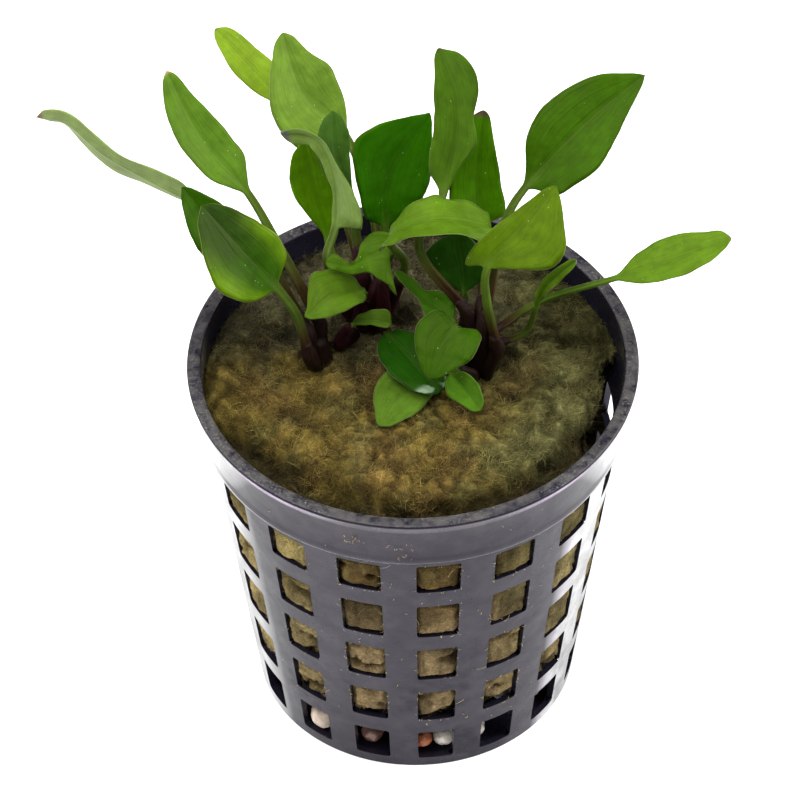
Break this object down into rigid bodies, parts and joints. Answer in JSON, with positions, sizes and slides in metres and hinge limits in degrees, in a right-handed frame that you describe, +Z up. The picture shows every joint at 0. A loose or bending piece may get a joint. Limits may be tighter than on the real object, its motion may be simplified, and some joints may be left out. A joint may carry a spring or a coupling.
{
  "type": "potted water plant",
  "caption": "Small plastic net pot with a slotted wall, filled with mineral wool and pebbles, holding a leafy cryptocoryne water plant with stalked oval leaves.",
  "frame": {"origin": "the middle of the net pot's floor, on its underside, where the pot stands", "axes": "+Z up along the pot's axis; -Y towards the front of the plant, the side seen in the picture; +X to the right"},
  "size_m": [0.0823, 0.0623, 0.0843],
  "materials": {
    "pot_plastic": "moulded, satin gloss",
    "front_wool": "fibrous, tan",
    "back_wool": "fibrous, grey green",
    "crown_skin": "sheathed, dark reddish brown",
    "leaf_green": "waxy",
    "pebble_stone": "water-worn"
  },
  "bodies": {
    "root": {"net_pot": "pot_plastic", "wool_front": "front_wool", "wool_back": "back_wool", "crown_left": "crown_skin", "crown_middle": "crown_skin", "crown_right": "crown_skin", "leaf_far_left": "leaf_green", "leaf_upper_left": "leaf_green", "leaf_left_behind": "leaf_green", "leaf_left_large": "leaf_green", "leaf_back_far": "leaf_green", "leaf_back_tall": "leaf_green", "leaf_back_small": "leaf_green", "leaf_twisted": "leaf_green", "leaf_ovate_behind": "leaf_green", "leaf_centre_large": "leaf_green", "leaf_centre_folded": "leaf_green", "leaf_small_folded": "leaf_green", "leaf_small_left": "leaf_green", "leaf_small_curved": "leaf_green", "leaf_dark_lower": "leaf_green", "leaf_big_right": "leaf_green", "leaf_upright_right": "leaf_green", "leaf_upright_centre": "leaf_green", "leaf_right_front": "leaf_green", "leaf_heart": "leaf_green", "leaf_rounded": "leaf_green", "leaf_small_right": "leaf_green", "leaf_dark_behind": "leaf_green", "leaf_narrow_folded": "leaf_green", "leaf_far_right": "leaf_green", "leaf_lowest": "leaf_green", "pebble_1": "pebble_stone", "pebble_2": "pebble_stone", "pebble_3": "pebble_stone", "pebble_4": "pebble_stone", "pebble_5": "pebble_stone", "pebble_6": "pebble_stone", "pebble_7": "pebble_stone", "pebble_8": "pebble_stone", "pebble_9": "pebble_stone", "pebble_10": "pebble_stone", "pebble_11": "pebble_stone", "pebble_12": "pebble_stone", "pebble_13": "pebble_stone", "pebble_14": "pebble_stone", "pebble_15": "pebble_stone", "pebble_16": "pebble_stone"}
  },
  "joints": []
}
